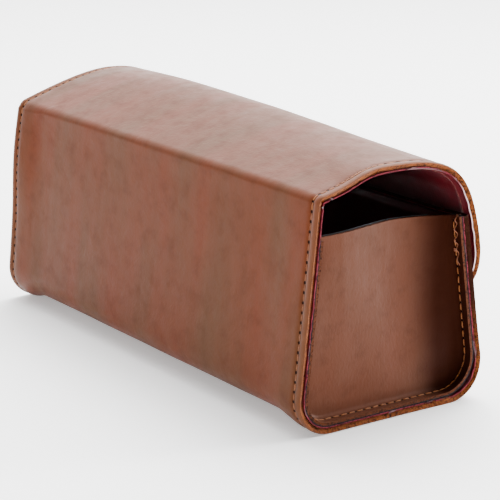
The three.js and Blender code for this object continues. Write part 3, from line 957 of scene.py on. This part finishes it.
def one_stitch():
    """A bar along Z with round ends, flattened a little where it is pulled down on the leather."""
    bm = bmesh.new()
    uv = bm.loops.layers.uv.new("Blank")
    bmesh.ops.create_uvsphere(bm, u_segments=8, v_segments=6, radius=THREAD / 2)
    for vert in bm.verts:
        if abs(vert.co.z) > THREAD * 0.05:
            vert.co.z += math.copysign((STITCH - THREAD) / 2, vert.co.z)
    for face in bm.faces:
        for loop in face.loops:
            co = loop.vert.co
            turn = math.atan2(co.y, co.x) / math.tau
            loop[uv].uv = (co.z / MM, 0.6 * turn)
    bmesh.ops.subdivide_edges(
        bm, edges=[e for e in bm.edges if abs(e.verts[0].co.z - e.verts[1].co.z) > STITCH / 3], cuts=2
    )
    for vert in bm.verts:
        vert.co.x *= 0.85
        vert.co.x -= 0.3 * THREAD * (abs(vert.co.z) / (STITCH / 2)) ** 2
    mesh = bpy.data.meshes.new("stitch")
    bm.to_mesh(mesh)
    bm.free()
    return mesh


STITCH_MESH = one_stitch()


def seam_place(along, side):
    """The place on the blank at a distance along the seam, down one end and round the flap."""
    if along <= CORNER_S:
        return along, side * (HALF - SEAM_MARGIN)
    if along <= CORNER_S + CORNER_ARC:
        angle = (along - CORNER_S) / SEAM_RADIUS
        across = CORNER_X + SEAM_RADIUS * math.cos(angle)
        return CORNER_S + SEAM_RADIUS * math.sin(angle), side * across
    return BLANK - SEAM_MARGIN, side * (CORNER_X - (along - CORNER_S - CORNER_ARC))


def sew(bm, places, depth, outward, thread):
    """Adds a stitch at each (along, side). `depth` is under the outer face, and outward is -1 inside."""
    for along, side in places:
        ends = [seam_place(along + step, side) for step in (-NEAR_STEP, 0, NEAR_STEP)]
        s, x = np.array(ends).T
        under = depth if outward > 0 else depth + INNER_SEAT
        points, inward = on_blank(s, x, under, with_relief=outward > 0)
        tangent = Vector(points[2] - points[0]).normalized()
        up = Vector(-outward * inward[1]).normalized()
        across = tangent.cross(up)
        # by hand, each stitch lies a little askew
        askew = 0.12 * math.sin(along * 5100) + 0.05 * math.sin(along * 1700)
        tangent = (tangent + askew * across * 0.6).normalized()
        across = tangent.cross(up).normalized()
        up = across.cross(tangent)
        turn = Matrix((up, across, tangent)).transposed().to_4x4()
        seat = Matrix.Translation(Vector(points[1])) @ turn
        before, faces_before = len(bm.verts), len(bm.faces)
        bm.from_mesh(STITCH_MESH)
        bm.verts.ensure_lookup_table()
        bm.faces.ensure_lookup_table()
        for face in bm.faces[faces_before:]:
            face.material_index = thread
        bmesh.ops.transform(bm, matrix=seat, verts=bm.verts[before:])
        for vert in bm.verts[before:]:
            vert.co.z = max(vert.co.z, 0)


def stitch_range(start, end):
    """Multiples of the pitch between two places along the seam."""
    return [k * PITCH for k in range(math.ceil(start / PITCH), math.floor(end / PITCH) + 1)]


both = (1, -1)
bend_s = s_at(CREASE + 0.5) - 4 * MM
seam_on_body = [(a, side) for side in both for a in stitch_range(2.2 * MM, bend_s)]
seam_on_gusset = [(a, side) for side in both for a in stitch_range(2.2 * MM, GUSSET_END_S - 1 * MM)]
seam_on_lid = [(a, side) for side in both for a in stitch_range(bend_s, PART_S)]
seam_on_flap = [(a, side) for side in both for a in stitch_range(PART_S, SEAM_LENGTH - PITCH / 2)]
seam_on_flap.append((SEAM_LENGTH, 1))
print("stitches", len(seam_on_body) + len(seam_on_gusset) + 2 * len(seam_on_lid) + 2 * len(seam_on_flap))

# %% [markdown]
# At the top of the front seam on the worn end, the thread's tail has come loose. It hangs as a short
# wavy end with two knots. It is under 2 cm long, so it belongs to the seam and isn't a cord of its own.

# %% Loose thread tail
TAIL = [
    (-82.6, -25.2, 56.2), (-83.4, -23.4, 56.2), (-83.9, -21.5, 55.2), (-83.3, -23.6, 53.8),
    (-83.9, -21.2, 52.4), (-83.2, -24.2, 50.7), (-83.9, -21.4, 49.0), (-83.2, -24.3, 47.6),
    (-83.7, -22.6, 46.3), (-83.0, -24.9, 44.7), (-83.5, -23.0, 43.1), (-83.0, -25.2, 41.0),
]
TAIL_RADIUS, KNOT_SIZES = 0.17 * MM, (0.34, 0.28, 0.24)


def thread_tail(points, knots):
    """A thin tube along a smooth curve, with a ball of thread at each knot."""
    strand = bpy.data.curves.new("tail", "CURVE")
    strand.dimensions, strand.bevel_depth, strand.bevel_resolution = "3D", TAIL_RADIUS, 2
    strand.use_fill_caps = True
    spline = strand.splines.new("NURBS")
    spline.points.add(len(points) - 1)
    for point, place in zip(spline.points, points):
        point.co = [value * MM for value in place] + [1]
    spline.use_endpoint_u, spline.order_u, spline.resolution_u = True, 3, 5
    holder = bpy.data.objects.new("tail", strand)
    link(holder)
    bpy.context.view_layer.update()
    mesh = bpy.data.meshes.new_from_object(holder.evaluated_get(bpy.context.evaluated_depsgraph_get()))
    bpy.data.objects.remove(holder)
    bm = bmesh.new()
    bm.from_mesh(mesh)
    for index in knots:
        place = Vector(points[index]) * MM
        for k, size in enumerate(KNOT_SIZES):
            shift = Vector((0.1 * k, 0.16 * (-1) ** k, 0.22 * (k - 1))) * MM
            bmesh.ops.create_icosphere(
                bm, subdivisions=2, radius=size * MM, matrix=Matrix.Translation(place + shift)
            )
    bm.to_mesh(mesh)
    bm.free()
    return mesh


def stitch_piece(name, seams, loose=None):
    """One mesh of stitches, from seams given as (places, depth, outward, thread)."""
    bm = bmesh.new()
    bm.loops.layers.uv.new("Blank")
    for places, depth, outward, thread in seams:
        sew(bm, places, depth, outward, thread)
    if loose is not None:
        bm.from_mesh(loose)
    piece = new_piece(name, bm, [waxed_thread, worn_thread, bobbin_thread])
    return piece


WAXED, WORN, BOBBIN = 0, 1, 2
HELD_HIGH, LID_HIGH = -0.04 * MM, -0.08 * MM
INNER_DEPTH = LEATHER + LINING + 0.2 * MM
body_rows = [(seam_on_body, HELD_HIGH, 1, WORN), (seam_on_gusset, FLANGE_DEPTH - 0.1 * MM, -1, WAXED)]
body_stitches = stitch_piece("end_seam_stitches", body_rows, thread_tail(TAIL, (1, 8)))
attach(body_stitches, "body")
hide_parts("seam_thread_left", "seam_thread_right")

lid_rows = [(seam_on_lid, LID_HIGH, 1, WAXED), (seam_on_lid, INNER_DEPTH, -1, BOBBIN)]
lid_stitches = stitch_piece("lid_edge_stitches", lid_rows)
bend_at_crease(lid_stitches)
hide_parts("lid_thread_left", "lid_thread_right")

flap_rows = [(seam_on_flap, HELD_HIGH, 1, WORN), (seam_on_flap, INNER_DEPTH, -1, BOBBIN)]
flap_stitches = stitch_piece("flap_edge_stitches", flap_rows)
bend_at_shoulder(flap_stitches)
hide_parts("flap_thread")
print("stitch faces", [len(p.data.polygons) for p in (body_stitches, lid_stitches, flap_stitches)])

# %% [markdown]
# ## Boards and magnets
# The stiffeners are grey board, pressed from waste paper, with flecks in it. They are glued between
# leather and lining and take the walls' slight curves, so they are made as sheets again. The closure
# is a pair of nickel-plated disc magnets, which keep their CAD shapes. The plating is bright, with
# fine scuffs that make its gloss uneven.

# %% Board and magnet materials
grey_board, tree, shader = start("pressed_grey_board")
where = add(tree, "TexCoord", out="Object")
flecks = add(tree, "TexVoronoi", {"Vector": where, "Scale": 900})
pulp = add(tree, "TexNoise", {"Vector": where, "Scale": 260, "Detail": 6})
board_tone = add(tree, "Mix", {"Factor": pulp, "A": linear("#8f8b82"), "B": linear("#b0aba0")}, **COLOURS)
fleck_size = {"Value": flecks, "From Min": 0.05, "From Max": 0.22, "To Min": 0.6, "To Max": 0}
fleck_mask = add(tree, "MapRange", fleck_size)
board_colour = add(tree, "Mix", {"Factor": fleck_mask, "A": board_tone, "B": linear("#4a4741")}, **COLOURS)
board_bump = add(tree, "Bump", {"Height": pulp, "Strength": 0.5, "Distance": 0.1 * MM})
fill(shader, {"Base Color": board_colour, "Normal": board_bump, "Roughness": 0.9})

nickel, tree, shader = start("nickel_plated_magnet")
where = add(tree, "TexCoord", out="Object")
scuffs_at = add(tree, "Mapping", {"Vector": where, "Scale": (300, 4000, 4000)})
scuffs = add(tree, "TexNoise", {"Vector": scuffs_at, "Scale": 1, "Detail": 3})
scuff_gloss = add(tree, "MapRange", {"Value": scuffs, "To Min": 0.15, "To Max": 0.4})
scuff_bump = add(tree, "Bump", {"Height": scuffs, "Strength": 0.2, "Distance": 0.02 * MM})
nickel_tone = add(tree, "Mix", {"Factor": scuffs, "A": linear("#b9b6ad"), "B": linear("#d6d3ca")}, **COLOURS)
fill(shader, {"Base Color": nickel_tone, "Normal": scuff_bump, "Roughness": scuff_gloss, "Metallic": 1})
print("made", grey_board.name, nickel.name)

# %% Board sheets, and the magnets' finish
for name, (first, last) in BOARDS.items():
    s = np.linspace(first, last, max(8, int((last - first) / (2 * MM))))
    x = np.linspace(-BOARD_END, BOARD_END, 60)
    s, x = np.meshgrid(s, x, indexing="ij")
    points, _ = on_blank(s, x, LEATHER + BOARD_GLUE)
    bm = blank_sheet(points, s, x)
    stiffener = thicken(new_piece(name + "_stiffener", bm, [grey_board]), BOARD, inner=0, rim=0)
    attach(stiffener, "body")
    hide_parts(name)
for node in ("wall_magnet", "flap_magnet"):
    for material_slot in frame["nodes"][node].material_slots:
        material_slot.material = nickel
print("boards made, magnets finished")

# %% [markdown]
# ## Camera, floor and light
# The case stands on a pale floor. It is seen from behind and a little above, along its length, with
# a long lens. The light is soft, from above and a little in front, so the lid's top is bright and
# the back wall is a deeper brown. The floor glows a little, as white paper lit from all round does.

# %% Camera
camera_data = bpy.data.cameras.new("camera")
camera_data.lens, camera_data.sensor_width = 136.3, 36
camera = bpy.data.objects.new("camera", camera_data)
camera.location = (-0.4816, 0.32818, 0.19077)
target = Vector((0.0004, -0.00907, 0.0294))
camera.rotation_euler = (target - camera.location).to_track_quat("-Z", "Y").to_euler()
link(camera)
bpy.context.scene.camera = camera
print("camera at", list(camera.location))

# %% Floor and lights
WORLD_LOW, WORLD_HIGH = 0.1, 5.5
BRIGHT_WAY, BRIGHT_START, BRIGHT_FULL = (0.6, -0.65, 0.47), 0.2, 0.62
bm = bmesh.new()
bmesh.ops.create_grid(bm, x_segments=1, y_segments=1, size=3)
floor_material, tree, shader = start("pale_paper_floor")
fill(shader, {"Base Color": linear("#fbfbfb"), "Roughness": 0.9})
fill(shader, {"Emission Color": linear("#ffffff"), "Emission Strength": 0.42})
floor = new_piece("floor", bm, [floor_material])

world = bpy.data.worlds.new("studio")
world.use_nodes = True
tree = world.node_tree
sky = add(tree, "TexCoord", out="Generated")
toward = add(tree, "VectorMath", {0: sky, 1: BRIGHT_WAY}, operation="DOT_PRODUCT", out="Value")
span = {"Value": toward, "From Min": BRIGHT_START, "From Max": BRIGHT_FULL}
glow = add(tree, "MapRange", span | {"To Min": WORLD_LOW, "To Max": WORLD_HIGH})
fill(tree.nodes["Background"], {"Color": linear("#ffffff"), "Strength": glow})
bpy.context.scene.world = world


def softbox(name, place, aim, size, power):
    data = bpy.data.lights.new(name, "AREA")
    data.shape, data.size, data.energy = "SQUARE", size, power
    light = bpy.data.objects.new(name, data)
    light.location = place
    light.rotation_euler = (Vector(aim) - Vector(place)).to_track_quat("-Z", "Y").to_euler()
    link(light)


softbox("top_softbox", (0.25, -0.35, 0.85), (0, 0, 0.05), 0.7, 27)
softbox("front_softbox", (-0.38, -0.85, 0.26), (-0.08, 0, 0.03), 0.2, 9)
softbox("back_softbox", (0.4, 0.8, 0.45), (0, 0, 0.03), 0.5, 1.4)
print("world strength", WORLD_LOW, "to", WORLD_HIGH)
